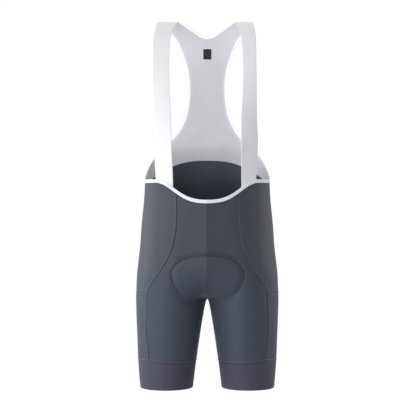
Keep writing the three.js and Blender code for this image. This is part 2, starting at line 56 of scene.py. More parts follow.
LIGHTS = [
    {"name": "key_light", "at": (-2.3, -1.5, 0.2), "size": 1.7, "watts": 28},
    {"name": "low_light", "at": (-1.2, -2.1, -1.5), "size": 1.4, "watts": 59},
    {"name": "front_light", "at": (-1.1, -2.8, 0.5), "size": 1.4, "watts": 3.5},
    {"name": "top_light", "at": (0.0, -0.4, 1.8), "size": 1.2, "watts": 8},
    {"name": "back_light", "at": (0.0, 1.7, 1.3), "size": 1.5, "watts": 13},
    {"name": "left_rim_light", "at": (-2.2, 0.6, -0.2), "size": 1.2, "watts": 22},
    {"name": "right_rim_light", "at": (2.2, 0.6, -0.2), "size": 1.2, "watts": 13.5},
]
AIM = Vector((0, 0, -0.5))
for light in LIGHTS:
    data = bpy.data.lights.new(light["name"], "AREA")
    data.shape = "SQUARE"
    data.size = light["size"]
    data.energy = light["watts"]
    lamp = bpy.data.objects.new(light["name"], data)
    lamp.location = light["at"]
    lamp.rotation_euler = (AIM - lamp.location).to_track_quat("-Z", "Y").to_euler()
    scene.collection.objects.link(lamp)


class Signal:
    """A socket of a shader, which takes part in sums as a number does."""

    def __init__(self, finish, socket):
        self.finish = finish
        self.socket = socket

    def maths(self, operation, *terms):
        return self.finish.node("ShaderNodeMath", {"operation": operation}, terms)

    def __add__(self, other):
        return self.maths("ADD", self, other)

    def __sub__(self, other):
        return self.maths("SUBTRACT", self, other)

    def __rsub__(self, other):
        return self.maths("SUBTRACT", other, self)

    def __mul__(self, other):
        return self.maths("MULTIPLY", self, other)

    __radd__ = __add__
    __rmul__ = __mul__

    def sine(self):
        return self.maths("SINE", self)

    def ramp(self, low, high):
        """0 where the signal is at low, 1 where it is at high, and smooth between."""
        settings = {"interpolation_type": "SMOOTHSTEP", "clamp": True}
        return self.finish.node("ShaderNodeMapRange", settings, {0: self, 1: low, 2: high, 3: 0, 4: 1})


def bump_signal(signal, middle, width):
    """1 where a signal is at the middle, falling to 0 a width away from it on each side."""
    return signal.ramp(middle - width, middle) * signal.ramp(middle + width, middle)


class Finish:
    """A material, or the world, put together from nodes."""

    def __init__(self, owner):
        owner.use_nodes = True
        self.owner = owner
        self.tree = owner.node_tree
        self.tree.nodes.clear()

    def node(self, kind, settings=None, sockets=(), output=0):
        made = self.tree.nodes.new(kind)
        for key, value in (settings or {}).items():
            setattr(made, key, value)
        pairs = sockets.items() if isinstance(sockets, dict) else enumerate(sockets)
        for key, value in pairs:
            if isinstance(value, Signal):
                self.tree.links.new(value.socket, made.inputs[key])
            else:
                made.inputs[key].default_value = value
        return Signal(self, made.outputs[output]) if made.outputs else made

    def blend(self, share, first, second, how="MIX"):
        """Two colours mixed by a share."""
        mix = {"data_type": "RGBA", "blend_type": how}
        return self.node("ShaderNodeMix", mix, {0: share, 6: first, 7: second}, 2)

    def part(self, vector, axis):
        return self.node("ShaderNodeSeparateXYZ", None, [vector], axis)

    def cut(self, layer):
        """Metres along the cloth, which the mesh keeps in a layer of its own."""
        return self.node("ShaderNodeUVMap", {"uv_map": layer})

    def place(self):
        return self.node("ShaderNodeTexCoord", None, (), "Object")

    def cloud(self, place, scale, detail):
        """An uneven signal about 0.5."""
        return self.node("ShaderNodeTexNoise", None, {"Vector": place, "Scale": scale, "Detail": detail}, 0)

    def material(self, surface):
        """The material, with this surface as what shows."""
        self.node("ShaderNodeOutputMaterial", None, [surface])
        return self.owner


world = bpy.data.worlds.new("white studio")
scene.world = world
studio = Finish(world)
WHITE = (1, 1, 1, 1)
AMBIENT = 0.48
strength = studio.node("ShaderNodeLightPath") * (1 - AMBIENT) + AMBIENT
backdrop = studio.node("ShaderNodeBackground", None, [WHITE, strength])
studio.node("ShaderNodeOutputWorld", None, [backdrop])

FLOOR = {"height": -1.3, "half": 9.0}
floor_corners = [(-1, -1), (1, -1), (1, 1), (-1, 1)]
floor_points = [(x * FLOOR["half"], y * FLOOR["half"], FLOOR["height"]) for x, y in floor_corners]
floor_mesh = bpy.data.meshes.new("floor")
floor_mesh.from_pydata(floor_points, [], [(0, 1, 2, 3)])
floor = bpy.data.objects.new("floor", floor_mesh)
scene.collection.objects.link(floor)
paper = Finish(bpy.data.materials.new("white paper"))
glow = paper.node("ShaderNodeEmission", None, [WHITE, 1.0])
matt = paper.node("ShaderNodeBsdfDiffuse", None, [(0.55, 0.55, 0.56, 1)])
in_view = paper.node("ShaderNodeLightPath")
floor_mesh.materials.append(paper.material(paper.node("ShaderNodeMixShader", None, [in_view, matt, glow])))

# The front panels: smooth grey stretch knit, cut in two halves that meet in a raised seam down the
# middle. Each runs from the waist binding down the front of the leg to the leg band. The seat pad
# shows through them as a low mound with a stitched outline, and soft creases run from the crotch.
# All lengths below are millimetres, and every panel lies on one figure given as level sections.
CROTCH_Z = -692
THIGH_SEAM_SIDE_Z = -671
GRIPPER_SEAM_Z = -845
HEM_Z = -911
WAIST_SIDE_Z = -394.5
WAIST_DIP = 51.5
WAIST_DIP_HALF_WIDTH = 128
WAIST_DIP_BOWL = 0.37
BACK_SEAM_RISE = 59.4
BACK_SEAM_BOW = 2.4
BAND_RISE = {"height": 5.5, "place": -0.27, "width": 0.18}
BINDING_WIDTH = 8.6
SHOULDER_ARCH = 60
SHORTS_WALL = {"thick": 1.6, "thinnest": 0.5, "plain": 10}
CROTCH_TURN = 5
GAP_SLOPE = 0.17
GAP_EASE = 0.00013
FRONT_FILL = 0.05
SEAT_FILL = 0.012


def table(*rows):
    return np.array(rows, float)


# z, half the width, half the flat middle, the front face, the back face, and where it is widest
FIGURE_COLUMNS = ("z", "side", "core", "front", "back", "widest")
FIGURE = table(
    (0, 194, 122, -52, 56, 0),
    (-60, 190, 118, -75, 72, 0),
    (-110, 185, 110, -97, 88, 0),
    (-170, 178, 100, -109, 99, -2),
    (-230, 170, 86, -111, 102, -4),
    (-300, 160, 64, -106, 98, -4),
    (-345, 156, 48, -102, 94, -4),
    (-395, 155.5, 36, -100, 92, -4),
    (-445, 158, 40, -103, 97, -3),
    (-505, 164, 50, -107, 110, -1),
    (-565, 168.5, 66, -109, 121, 2),
    (-625, 175.5, 82, -106, 124, 4),
    (-655, 177, 88, -102, 119, 3),
    (-692, 178, 91, -97, 105, 1),
    (-730, 177, 94, -93, 92, -1),
    (-790, 174.5, 97, -87, 80, -3),
    (-850, 172, 100, -81, 71, -4),
    (-911, 167, 101.3, -76, 65, -5),
)
# z, and how far across the curved front seam lies
SIDE_SEAM = table(
    (-395, 77), (-467, 72.5), (-519, 74.7), (-547, 79.5), (-575, 89), (-604, 104.3),
    (-630, 122), (-651, 136.5), (-667, 144.5), (-675, 146), (-716, 147.5), (-770, 149.5),
    (-815, 143.5), (-850, 142),
)


def through(rows, column, value):
    """A smooth curve through the rows of a table, read at any value of its first column."""
    keys = rows[:, 0]
    values = rows[:, column]
    if keys[0] > keys[-1]:
        keys, values = keys[::-1], values[::-1]
    at = np.clip(value, keys[0], keys[-1])
    i = np.clip(np.searchsorted(keys, at) - 1, 0, len(keys) - 2)
    before = np.maximum(np.arange(len(keys)) - 1, 0)
    after = np.minimum(np.arange(len(keys)) + 1, len(keys) - 1)
    slopes = (values[after] - values[before]) / (keys[after] - keys[before])
    span = keys[i + 1] - keys[i]
    t = (at - keys[i]) / span
    rise = values[i + 1] - values[i]
    start = slopes[i] * span
    end = slopes[i + 1] * span
    return values[i] + t * start + t**2 * (3 * rise - 2 * start - end) + t**3 * (start + end - 2 * rise)


def smooth(low, high, value):
    t = np.clip((value - low) / (high - low), 0, 1)
    return t * t * (3 - 2 * t)


def bump(value, middle, width):
    return np.exp(-(((value - middle) / width) ** 2))


def section(z):
    """The figure's level section. Over the shoulders its depth closes to nothing as an arch."""
    z = np.asarray(z, float)
    s = {name: through(FIGURE, k, z) for k, name in enumerate(FIGURE_COLUMNS) if k}
    arch = np.where(z > -SHOULDER_ARCH, np.maximum(0, 1 - ((z + SHOULDER_ARCH) / SHOULDER_ARCH) ** 2), 1)
    s["outer"] = s["side"] - s["core"]
    s["front2"] = (s["widest"] - s["front"]) ** 2 * arch
    s["back2"] = (s["back"] - s["widest"]) ** 2 * arch
    rise = z - CROTCH_Z
    up = np.maximum(rise, 0)
    down = np.minimum(rise, 0)
    turn = s["core"] - CROTCH_TURN + GAP_SLOPE * rise + GAP_EASE * down**2
    s["inner_front"] = turn + FRONT_FILL * up**2
    s["inner_back"] = turn + SEAT_FILL * up**2
    return s


def on_figure(place, z):
    """The point at a place round the figure: -1 front seam or inseam, 0 side, 1 back seam or inseam."""
    s = section(z)
    share = np.abs(place)
    front = place < 0
    inner = np.where(front, s["inner_front"], s["inner_back"])
    depth = np.sqrt(np.where(front, s["front2"], s["back2"])) * np.sign(place)
    left = 2 - 2 * np.maximum(share, 0.5)
    turn = (1 - left**2) * np.arcsin(np.minimum(1, (s["core"] - CROTCH_TURN) / inner))
    outer_half = share <= 0.5
    quarter = np.minimum(share, 0.5) * math.pi
    reach = np.where(outer_half, s["outer"] * np.cos(quarter), -inner * np.sin(turn))
    across = s["core"] + reach
    deep = np.where(outer_half, np.sin(quarter), np.cos(turn))
    x = np.sqrt(np.maximum(0, across**2 - CROTCH_TURN**2))
    return np.stack(np.broadcast_arrays(x, s["widest"] + depth * deep, z), -1)


def place_of(x, z, face):
    """The place round the figure of a point seen at x from the front (face -1) or the back (face 1)."""
    s = section(z)
    across = np.hypot(x, CROTCH_TURN)
    beyond = np.arccos(np.clip((across - s["core"]) / s["outer"], 0, 1)) / math.pi
    inner = s["inner_front"] if face < 0 else s["inner_back"]
    turned = np.arcsin(np.clip((s["core"] - across) / inner, 0, 1)) / np.arcsin(
        np.minimum(1, (s["core"] - CROTCH_TURN) / inner)
    )
    within = 1 - np.sqrt(np.maximum(0, 1 - turned)) / 2
    return face * np.where(across >= s["core"], beyond, within)


def outside(p):
    """Below 0 inside the figure and above 0 outside it."""
    s = section(p[..., 2])
    front = p[..., 1] < s["widest"]
    across = np.hypot(p[..., 0], CROTCH_TURN)
    inner = np.where(front, s["inner_front"], s["inner_back"])
    share = np.where(across > s["core"], (across - s["core"]) / s["outer"], (s["core"] - across) / inner)
    return (p[..., 1] - s["widest"]) ** 2 - np.where(front, s["front2"], s["back2"]) * (1 - share**2)


def slope(p):
    step = 0.01
    sides = []
    for axis in np.eye(3) * step:
        sides.append((outside(p + axis) - outside(p - axis)) / (2 * step))
    return np.stack(sides, -1)


def unit(v):
    return v / np.maximum(np.linalg.norm(v, axis=-1, keepdims=True), 1e-12)


# The front stands out to its middle seam as a low ridge with nearly straight sides. The mound over
# the pad tapers to the crotch.
RIDGE = {"lift": 14, "half": 120, "ease": 1.5, "foot": -688, "low": -606, "high": -440, "top": -400}
MOUND = {"widest": -628, "half": 88, "above": 48, "below": 97, "lift": 2.4, "edge": 0.18}
MOUND_FULL = {"above": 2.2, "below": 1.5}
MOUND_FADE = (-694, -672)
MOUND_GROOVE = {"depth": 1.0, "width": 0.032}
# front -1 or back 1, where each crease starts and ends across and in height, its width and its depth
CREASES = [
    (-1, 8, -697, 88, -664, 11, 2.6),
    (-1, 18, -714, 72, -679, 8, 1.3),
    (-1, 6, -704, 60, -690, 5, 0.7),
    (1, 10, -702, 92, -668, 13, 1.6),
    (1, 18, -726, 76, -700, 9, 0.9),
    (1, 30, -640, 70, -690, 12, 0.8),
]
CREASE_START = (-0.15, 0.25)
CREASE_END = (1.15, 0.6)


def mound_reach(p):
    """0 at the middle of the pad's mound and 1 at its outline."""
    rise = p[..., 2] - MOUND["widest"]
    up = np.abs(rise) / np.where(rise > 0, MOUND["above"], MOUND["below"])
    across = np.abs(p[..., 0]) / MOUND["half"]
    full = np.where(rise > 0, MOUND_FULL["above"], MOUND_FULL["below"])
    return (across**full + up**full) ** (1 / full)


def lift(p):
    """How far the cloth stands off the figure."""
    x, z = p[..., 0], p[..., 2]
    front = p[..., 1] < section(z)["widest"]
    stands = smooth(RIDGE["foot"], RIDGE["low"], z) * smooth(RIDGE["top"], RIDGE["high"], z)
    ridge = RIDGE["lift"] * np.maximum(0, 1 - x / RIDGE["half"]) ** RIDGE["ease"] * stands
    r = mound_reach(p)
    mound = MOUND["lift"] * (1 - smooth(1 - MOUND["edge"], 1, r))
    mound -= MOUND_GROOVE["depth"] * bump(r, 1, MOUND_GROOVE["width"])
    total = np.where(front, ridge + mound * smooth(*MOUND_FADE, z), 0)
    for face, x0, z0, x1, z1, width, depth in CREASES:
        t = ((x - x0) * (x1 - x0) + (z - z0) * (z1 - z0)) / ((x1 - x0) ** 2 + (z1 - z0) ** 2)
        off = np.hypot(x - x0 - t * (x1 - x0), z - z0 - t * (z1 - z0))
        crease = depth * bump(off, 0, width) * smooth(*CREASE_START, t) * smooth(*CREASE_END, t)
        total = total - np.where(front == (face < 0), crease, 0)
    return total


# Distances from a sewn edge at which a panel has its own line of points, so that the seam has form
EDGE_LINES = np.array([0, 0.35, 0.8, 1.3, 1.9, 2.6, 3.5, 4.8, 6.6, 9])
RING_SAMPLES = 96


def stations(width, middle, lines=EDGE_LINES):
    """Positions along a row: close together near both edges, and even between them."""
    even = np.linspace(lines[-1], width - lines[-1], middle + 2)[1:-1]
    return np.concatenate([lines, even, width - lines[::-1]])


class Cloth:
    """A piece of cloth as rows of points on the figure, with their distances from its four edges."""

    def __init__(self, heights, starts, ends, middle, lifted=True, lines=EDGE_LINES):
        base, along_row, width = [], [], []
        sides = (np.broadcast_to(places, len(heights)) for places in (starts, ends))
        for height_at, start, end in zip(heights, *sides):
            places = np.linspace(start, end, RING_SAMPLES + 1)
            samples = on_figure(places, height_at(places))
            run = np.concatenate([[0], np.cumsum(np.linalg.norm(np.diff(samples, axis=0), axis=1))])
            s = stations(run[-1], middle, lines)
            chosen = np.interp(s, run, places)
            base.append(on_figure(chosen, height_at(chosen)))
            along_row.append(s)
            width.append(run[-1])
        self.base = np.array(base)
        self.out = unit(slope(self.base))
        self.points = self.base + (lift(self.base)[..., None] * self.out if lifted else 0)
        self.from_start = np.array(along_row)
        self.from_end = np.array(width)[:, None] - self.from_start
        steps = np.linalg.norm(np.diff(self.base, axis=0), axis=2)
        self.from_top = np.concatenate([np.zeros((1, steps.shape[1])), np.cumsum(steps, axis=0)])
        self.from_bottom = self.from_top[-1] - self.from_top
        self.from_seam = np.minimum(self.from_start, self.from_end)

    def beside(self, edge, distance):
        """A line at a distance from one edge, as points with the way out of the cloth at each."""
        keys = getattr(self, f"from_{edge}")
        layers = np.concatenate([self.points, self.out], -1)
        if edge in ("top", "bottom"):
            keys, layers = keys.T, layers.transpose(1, 0, 2)
        if edge in ("end", "bottom"):
            keys, layers = keys[:, ::-1], layers[:, ::-1]
        return np.array([[np.interp(distance, key, c) for c in layer.T] for key, layer in zip(keys, layers)])

    def raised(self, amount):
        self.form = np.asarray(amount)
        self.points = self.points + self.form[..., None] * self.out
        return self

    def one_side(self):
        """Keeps the piece to its own side of the middle plane."""
        self.points[..., 0] = np.maximum(self.points[..., 0], 0)
        return self


def between(upper, lower, share):
    """The height of a row that lies a share of the way from an upper edge to a lower one."""
    return lambda place: upper(place) * (1 - share) + lower(place) * share


def heights_between(upper, lower, length, steps):
    """The heights of a panel's rows, close together near its upper and lower edges."""
    return [between(upper, lower, share) for share in stations(length, steps) / length]


def wall(name, halves, thick, loop=False, middle="", from_row=0, plain_inside=0):
    """A closed wall: the cloth's outer face, the same face moved in, and the cut edges between.

    halves pairs a cloth with the side that it is on. thick is one thickness, or one for each half.
    middle is the edge, start or end, where the two halves carry on into each other, from a row on.
    plain_inside, added to the inner face's distance from its seams, keeps their shade off it.
    """
    points, faces, maps = [], [], []
    start = 0
    for k, (cloth, hand) in enumerate(halves):
        rows, columns = cloth.points.shape[:2]
        count = rows * columns
        depth = np.broadcast_to(thick[k] if isinstance(thick, list) else thick, (rows, columns))
        inner_points = cloth.points - cloth.out * depth[..., None]
        points += [layer.reshape(-1, 3) * (hand, 1, 1) for layer in (cloth.points, inner_points)]
        for inside in (0, plain_inside):
            cut = (cloth.from_start, -cloth.from_top, cloth.from_seam + inside, cloth.from_bottom)
            maps.append(np.stack(cut, -1).reshape(-1, 4) / 1000)
        grid = start + np.arange(count).reshape(rows, columns)
        if loop:
            grid = np.concatenate([grid, grid[:, :1]], 1)
        outer = np.stack([grid[:-1, :-1], grid[1:, :-1], grid[1:, 1:], grid[:-1, 1:]], -1).reshape(-1, 4)
        rims = [grid[0], grid[-1][::-1]]
        for edge, rim in (("start", grid[:, 0]), ("end", grid[:, -1])):
            if not loop:
                rim = rim[: from_row + 1] if edge == middle else rim
                rims.append(rim[::-1] if edge == "start" else rim)
        quads = [outer, outer[:, ::-1] + count]
        quads += [np.stack([rim[:-1], rim[1:], rim[1:] + count, rim[:-1] + count], -1) for rim in rims]
        quads = np.concatenate(quads)
        faces.append(quads if hand > 0 else quads[:, ::-1])
        start += 2 * count
    made = shape(name, np.concatenate(points), np.concatenate(faces), np.concatenate(maps))
    if middle:
        weld(made)
    return made


WELDED_WITHIN = 1e-6
SHARP_FOLD = math.radians(50)


def weld(piece):
    """Joins points that lie on each other."""
    joined = bmesh.new()
    joined.from_mesh(piece.data)
    bmesh.ops.remove_doubles(joined, verts=joined.verts, dist=WELDED_WITHIN)
    joined.to_mesh(piece.data)
    joined.free()
    piece.data.set_sharp_from_angle(angle=SHARP_FOLD)


def shape(name, points, faces, maps=None):
    """A mesh object in metres from points in millimetres."""
    mesh = bpy.data.meshes.new(name)
    mesh.from_pydata((points / 1000).tolist(), [], faces.tolist())
    if maps is not None:
        corners = np.empty(len(mesh.loops), np.int32)
        mesh.loops.foreach_get("vertex_index", corners)
        for k, layer_name in enumerate(("cut", "edges")):
            layer = mesh.uv_layers.new(name=layer_name)
            layer.data.foreach_set("uv", maps[corners, 2 * k : 2 * k + 2].astype(np.float32).ravel())
    made = bpy.data.objects.new(name, mesh)
    scene.collection.objects.link(made)
    mesh.shade_smooth()
    mesh.set_sharp_from_angle(angle=SHARP_FOLD)
    return made


def finished(piece, material, slot, *nodes):
    """Gives a piece its material and its place on the frame."""
    piece.data.materials.append(material)
    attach(piece, "root")
    if nodes:
        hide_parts(*nodes)


def waist_edge(place):
    x = on_figure(np.minimum(place, 0), WAIST_SIDE_Z - WAIST_DIP / 2)[..., 0]
    share = np.minimum(1, x / WAIST_DIP_HALF_WIDTH)
    bowl = share + WAIST_DIP_BOWL * (share**2 - share)
    return WAIST_SIDE_Z - WAIST_DIP * (0.5 + 0.5 * np.cos(math.pi * bowl))


def back_seam(place):
    z = WAIST_SIDE_Z + BACK_SEAM_RISE / 2
    share = on_figure(np.maximum(place, 0), z)[..., 0] / on_figure(np.array(0.0), z)[..., 0]
    return WAIST_SIDE_Z - BINDING_WIDTH + BACK_SEAM_RISE * (1 - share**BACK_SEAM_BOW)


def waist_foot(place):
    """The lower edge of the waist binding, at which the cloth below it begins."""
    return waist_edge(place) - BINDING_WIDTH


def shorts_top(place):
    return np.where(place < 0, waist_foot(place), back_seam(place))


def thigh_seam(place):
    share = smooth(0.35, 1, np.abs(place))
    return THIGH_SEAM_SIDE_Z + (CROTCH_Z - THIGH_SEAM_SIDE_Z) * share


def leg_end(place):
    """The leg bands' seam rises a little towards the side seam."""
    return GRIPPER_SEAM_Z + BAND_RISE["height"] * bump(place, BAND_RISE["place"], BAND_RISE["width"])


def side_seam(heights):
    """The places at which rows meet the curved front seam, which they close in on by turns."""
    places = []
    for height_at in heights:
        place = -0.4
        for _ in range(12):
            z = height_at(np.array(place))
            place = place + 0.8 * (place_of(through(SIDE_SEAM, 1, z), z, -1) - place)
        places.append(float(place))
    return places


SEWN = {"beside": 2.7, "half": 1.2, "depth": 0.85, "edge": 0.75}
FOOT = {"welt_and_highlight": 0.75, "beside": 1.7, "half": 1.3, "depth": 0.8, "edge": 0.6}
TOP = {"depth": 0.5, "edge": 1.2}


def seam_form(distance, depth, edge, welt_and_highlight=0, beside=0, half=1):
    """An edge turns in, with a low welt beside it where the seam allowance lies underneath."""
    return welt_and_highlight * bump(distance, beside, half) - depth * bump(distance, 0, edge)


# metres, where the knit's seams get painted shade, where painted highlights lie on its welts and
# beside its first seam, and where its dye is cooler
SEAM_SHADE = (0.0029, 0.0011)
PAINTED_HIGHLIGHT_SIZE = 0.0028
PAINTED_HIGHLIGHT_BESIDE_SEAM = 0.0046
COOL_HEIGHTS = (-0.57, -0.66)
COOL_DYE = (0.94, 1.04, 1.12, 1)
UNEVEN = {"broad": 26, "fine": 700, "fleck": 0.5}
LOOPS = {"wales": 0.32, "courses": 0.18, "course": 0.75, "stagger": 1.2, "tone": 0.45, "base": 0.28}


def knit(
    name, light, dark, roughness, sheen, wale=0.0009, depth=6e-5, mottle=0.35, seam=0, welt_and_highlight=0, rib=0, cool=0
):
    """Fine stretch knit: upright wales crossed by courses, a slight unevenness of tone, painted shade in
    the seams, a painted highlight on the welt at the lower edge and on the ridge beside the first edge,
    and a dye that turns a little cooler down the legs."""
    cloth = Finish(bpy.data.materials.new(name))
    across, along = (cloth.part(cloth.cut("cut"), axis) for axis in ("X", "Y"))
    wales = (across * (2 * math.pi / wale)).sine()
    courses = (along * (2 * math.pi / (wale * LOOPS["course"])) + wales * LOOPS["stagger"]).sine()
    loops = wales * LOOPS["wales"] + courses * LOOPS["courses"] + 0.5
    place = cloth.place()
    broad = cloth.cloud(place, UNEVEN["broad"], 3)
    fine = cloth.cloud(place, UNEVEN["fine"], 2)
    tone = (broad - 0.5) * mottle + (fine - 0.5) * UNEVEN["fleck"] + loops * LOOPS["tone"] + LOOPS["base"]
    if seam:
        from_seam, from_foot = (cloth.part(cloth.cut("edges"), axis) for axis in ("X", "Y"))
        # painted shade darkens the cloth beside the seams; a painted highlight lightens the welt above the
        # lower seam
        tone = tone - from_seam.ramp(*SEAM_SHADE) * seam + bump_signal(from_foot, PAINTED_HIGHLIGHT_SIZE, PAINTED_HIGHLIGHT_SIZE) * welt_and_highlight
        # a painted highlight on the ridge beside the first seam
        if rib:
            tone = tone + bump_signal(across, PAINTED_HIGHLIGHT_BESIDE_SEAM, PAINTED_HIGHLIGHT_SIZE) * rib
    colour = cloth.blend(tone.ramp(0, 1), (*dark, 1), (*light, 1))
    if cool:
        colour = cloth.blend(cloth.part(place, "Z").ramp(*COOL_HEIGHTS) * cool, colour, COOL_DYE, "MULTIPLY")
    bumped = cloth.node("ShaderNodeBump", None, {"Strength": 0.7, "Distance": depth, "Height": loops})
    look = {"Base Color": colour, "Roughness": roughness, "Normal": bumped, "Specular IOR Level": 0.35}
    look.update({"Sheen Weight": sheen, "Sheen Roughness": 0.35})
    return cloth.material(cloth.node("ShaderNodeBsdfPrincipled", None, look))


# the grey knit's two tones, and the strengths of its painted seam shade, of the painted highlight on its
# welts and of its cooler dye
GREY = {
    "light": (0.0585, 0.0665, 0.0865),
    "dark": (0.036, 0.0435, 0.058),
    "roughness": 0.58,
    "sheen": 0.2,
    "seam": 0.65,
    "welt_and_highlight": 0.9,
    "cool": 0.75,
}
GREY_KNIT = knit("grey stretch knit", **GREY)
SIDES = (("left", 1), ("right", -1))
BODY_LENGTH = 265
LEG_LENGTH = 160
LEG_ROWS = 48
FOOT_CLEAR = 11
# shares of the body's height at which the front's rows pass the level of the thigh seam
PASSING = (0.028, 0.019, 0.009)


def shorts_panel(name, cloth, side):
    """The shorts' cloth as a wall whose inner face is smooth and unshaded beside its seams."""
    thick = np.maximum(SHORTS_WALL["thinnest"], SHORTS_WALL["thick"] + cloth.form)
    return wall(name, [(cloth, side)], thick, plain_inside=SHORTS_WALL["plain"])


body_heights = heights_between(shorts_top, thigh_seam, BODY_LENGTH, steps=76)
front_heights = body_heights[: -len(EDGE_LINES)]
front_heights += [between(thigh_seam, shorts_top, t) for t in PASSING]
leg_shares = np.linspace(0, 1 - FOOT_CLEAR / LEG_LENGTH, LEG_ROWS)
leg_shares = np.concatenate([leg_shares, 1 - EDGE_LINES[::-1] / LEG_LENGTH])
front_heights += [between(thigh_seam, leg_end, t) for t in leg_shares]

front = Cloth(front_heights, -1, side_seam(front_heights), middle=40)
front.raised(
    seam_form(front.from_start, welt_and_highlight=0.12, **SEWN)
    + seam_form(front.from_end, welt_and_highlight=0.15, **SEWN)
    + seam_form(front.from_bottom, **FOOT)
    + seam_form(front.from_top, **TOP)
).one_side()
for hand, side in SIDES:
    piece = shorts_panel(f"front_{hand}", front, side)
    finished(piece, GREY_KNIT, "grey_knit", f"front_panel_{hand}")

# The hip panels: the same knit, from the curved front seam round the hip to the seam down the
# middle of the seat, and down to the seam that crosses the back of the thigh.
# the grey knit with a painted highlight beside the curved front seam
SIDE_KNIT = knit("grey side knit", rib=0.4, **GREY)
hip = Cloth(body_heights, side_seam(body_heights), 1, middle=74)
hip.raised(
    seam_form(hip.from_start, welt_and_highlight=0.5, **SEWN)
    + seam_form(hip.from_end, welt_and_highlight=0.2, **SEWN)
    + seam_form(hip.from_bottom, welt_and_highlight=0.3, **SEWN)
    + seam_form(hip.from_top, **TOP)
).one_side()
for hand, side in SIDES:
    piece = shorts_panel(f"hip_{hand}", hip, side)
    finished(piece, SIDE_KNIT, "grey_knit", f"hip_panel_{hand}")

# The thigh panels: the same knit again, round the outside and the back of each leg to the inseam.
# They are sewn to the hip panels above and to the leg bands below.
thigh_heights = heights_between(thigh_seam, leg_end, LEG_LENGTH, steps=44)
thigh = Cloth(thigh_heights, side_seam(thigh_heights), 1, middle=74)
thigh.raised(
    seam_form(thigh.from_start, welt_and_highlight=0.5, **SEWN)
    + seam_form(thigh.from_end, welt_and_highlight=0.2, **SEWN)
    + seam_form(thigh.from_top, welt_and_highlight=0.1, **SEWN)
    + seam_form(thigh.from_bottom, **FOOT)
).one_side()
for hand, side in SIDES:
    piece = shorts_panel(f"thigh_{hand}", thigh, side)
    finished(piece, SIDE_KNIT, "grey_knit", f"thigh_panel_{hand}")

# The leg bands: a deep tube of denser grey knit on each leg, sewn to the panels above it. Its lower
# edge is turned up inside, which leaves a fold at the hem and a pressed line above it.
BAND_WALL = 1.9
BAND_DEPTH = 66
HEM_FOLD = 7
# each line pressed into the band: the edge that it follows, how far from it, half its width and its depth
BAND_LINES = [("from_top", 0, 1.1, 0.9), ("from_bottom", HEM_FOLD, 0.7, 0.35), ("from_bottom", 0, 0.9, 0.7)]
# its painted seam shade falls below the band's upper seam
GREY_BAND = knit(
    "grey band knit", (0.0632, 0.0655, 0.096), (0.0417, 0.044, 0.0667), 0.62, 0.16, 0.0012, 8e-5, seam=1.1
)


def level(z):
    """A row or an edge that lies at one height."""
    return lambda place: np.full(np.shape(place), float(z))


band_heights = heights_between(leg_end, level(HEM_Z), BAND_DEPTH, steps=14)
band = Cloth(band_heights, -1, 1, middle=130)
for part in ("points", "base", "out", "from_start", "from_end", "from_top", "from_bottom"):
    setattr(band, part, getattr(band, part)[:, :-1])
band.from_seam = band.from_top
band.raised(sum(-deep * bump(getattr(band, edge), at, half) for edge, at, half, deep in BAND_LINES))
for hand, side in SIDES:
    piece = wall(f"band_{hand}", [(band, side)], BAND_WALL, loop=True)
    finished(piece, GREY_BAND, "grey_band", f"leg_band_{hand}")

# The sewing of the shorts, all of spun thread: flat seams held by a row of grey stitches on each side,
# one row round each leg above its fold, and a dark zigzag with slanted stitches above it that hold
# the edge of the pad and show through the front.
THREAD_RINGS = [(-1, 0.4, -0.5), (-0.55, 1, 0.45), (0.55, 1, 0.45), (1, 0.4, -0.5)]
THREAD_SIDES = 4
BESIDE_SEAM = 1.9


def along_line(line, hand, pitch):
    """Points of a line at even steps: where each lies, the way ahead, and the way out."""
    line = line * (hand, 1, 1, hand, 1, 1)
    run = np.concatenate([[0], np.cumsum(np.linalg.norm(np.diff(line[:, :3], axis=0), axis=1))])
    at = np.arange(pitch / 2, run[-1] - pitch * 0.4, pitch)
    here = np.stack([np.interp(at, run, c) for c in line.T], -1)
    ahead = np.stack([np.interp(at + 0.5, run, c) - np.interp(at - 0.5, run, c) for c in line[:, :3].T], -1)
    return here[:, :3], unit(ahead), unit(here[:, 3:])


def running_stitch(line, hand, pitch=2.9, length=2.3):
    here, ahead, out = along_line(line, hand, pitch)
    return here - ahead * length / 2, here + ahead * length / 2, out


def zigzag(line, hand, pitch, sway):
    here, ahead, out = along_line(line, hand, pitch)
    aside = np.cross(out, ahead) * sway / 2
    aside[1::2] *= -1
    points = here + aside
    return points[:-1], points[1:], out[:-1]


def slanted(line, hand, pitch, length, lean):
    here, ahead, out = along_line(line, hand, pitch)
    half = (np.cross(out, ahead) * hand * length + ahead * lean) / 2
    return here - half, here + half, out


def threads(name, runs, material, slot, thick=0.26):
    """Stitches joined in one mesh. Each run gives where its stitches start and end, and the way out."""
    starts, ends, outs = (np.concatenate(part) for part in zip(*runs))
    middles = (starts + ends) / 2
    ahead = (ends - starts) / 2
    aside = unit(np.cross(outs, ahead))
    up = unit(np.cross(ahead, aside))
    rings = []
    for along, width, rise in THREAD_RINGS:
        for k in range(THREAD_SIDES):
            turn = 2 * math.pi * k / THREAD_SIDES
            round_it = width * (math.cos(turn) * aside + math.sin(turn) * up) + rise * up
            rings.append(middles + along * ahead + thick * round_it)
    points = np.stack(rings, 1)
    last = THREAD_SIDES * (len(THREAD_RINGS) - 1)
    quads = [list(range(THREAD_SIDES))[::-1], list(range(last, last + THREAD_SIDES))]
    for ring in range(len(THREAD_RINGS) - 1):
        for k in range(THREAD_SIDES):
            a, b = ring * THREAD_SIDES + k, ring * THREAD_SIDES + (k + 1) % THREAD_SIDES
            quads.append([a, b, b + THREAD_SIDES, a + THREAD_SIDES])
    first = np.arange(len(points))[:, None, None] * points.shape[1]
    faces = (first + np.array(quads)[None]).reshape(-1, 4)
    finished(shape(name, points.reshape(-1, 3), faces), material, slot)


